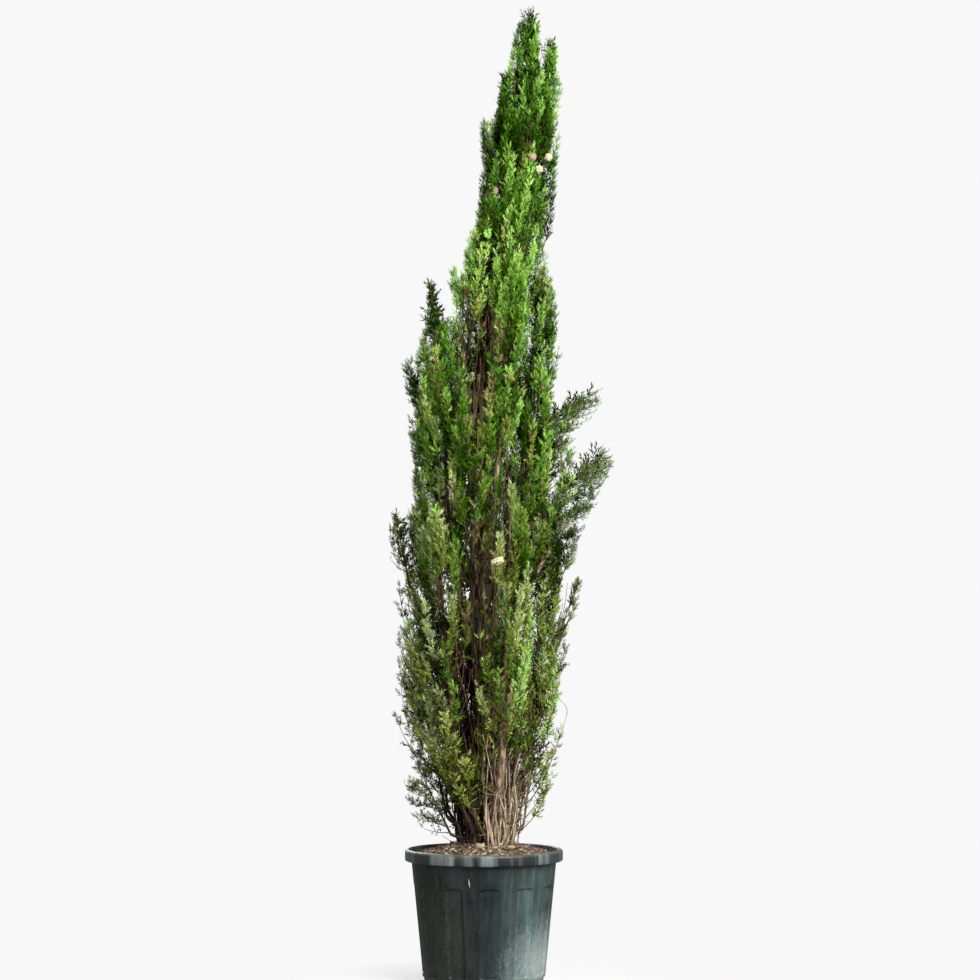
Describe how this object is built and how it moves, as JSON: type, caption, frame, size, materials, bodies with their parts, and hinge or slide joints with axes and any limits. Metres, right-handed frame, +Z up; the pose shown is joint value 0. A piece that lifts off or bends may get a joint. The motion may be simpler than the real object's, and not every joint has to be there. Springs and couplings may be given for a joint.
{
  "type": "potted italian cypress",
  "caption": "Tall narrow evergreen with a leaning pointed spire and upright feathery plumes, rooted in a round fluted nursery pot topped with bark chips.",
  "frame": {"origin": "middle of the pot's flat underside", "axes": "+Z up along the plant; +X to the right as seen from the front, the side that the spire leans to and the long fans stand out on; -Y towards the viewer"},
  "size_m": [0.6391, 0.5074, 2.88],
  "materials": {
    "pot": "moulded dark grey-green plastic, dusty and scuffed, with a slightly glossy rolled rim",
    "soil": "potting soil topped with loose brown bark chips",
    "bark": "fibrous grey-brown bark with long furrows",
    "foliage": "scale-leaved green sprays, matt, lighter at their tips"
  },
  "bodies": {
    "root": {"pot": "pot", "soil": "soil", "trunk": "bark", "lower_1_bough": "bark", "lower_2_bough": "bark", "lower_3_bough": "bark", "lower_4_bough": "bark", "lower_5_bough": "bark", "middle_1_bough": "bark", "middle_2_bough": "bark", "middle_3_bough": "bark", "middle_4_bough": "bark", "middle_5_bough": "bark", "fan_low_right_bough": "bark", "fan_high_right_bough": "bark", "shoulder_1_bough": "bark", "shoulder_2_bough": "bark", "upper_1_bough": "bark", "upper_2_bough": "bark", "upper_3_bough": "bark", "skirt_1_plume": "foliage", "skirt_2_plume": "foliage", "skirt_3_plume": "foliage", "skirt_4_plume": "foliage", "skirt_5_plume": "foliage", "skirt_low_left_plume": "foliage", "lower_1_plume": "foliage", "lower_2_plume": "foliage", "lower_3_plume": "foliage", "lower_4_plume": "foliage", "lower_5_plume": "foliage", "twig_right_plume": "foliage", "stray_left_plume": "foliage", "middle_1_plume": "foliage", "middle_2_plume": "foliage", "middle_3_plume": "foliage", "middle_4_plume": "foliage", "middle_5_plume": "foliage", "fan_low_right_plume": "foliage", "fan_high_right_plume": "foliage", "shoulder_1_plume": "foliage", "shoulder_2_plume": "foliage", "upper_1_plume": "foliage", "upper_2_plume": "foliage", "upper_3_plume": "foliage", "outlier_left_plume": "foliage", "collar_left_plume": "foliage", "neck_1_plume": "foliage", "neck_2_plume": "foliage", "neck_3_plume": "foliage", "spire_1_plume": "foliage", "spire_2_plume": "foliage", "spire_3_plume": "foliage", "spire_4_plume": "foliage", "tip_1_plume": "foliage", "tip_2_plume": "foliage", "tip_3_plume": "foliage", "tip_right_plume": "foliage", "leader_plume": "foliage"}
  },
  "joints": []
}
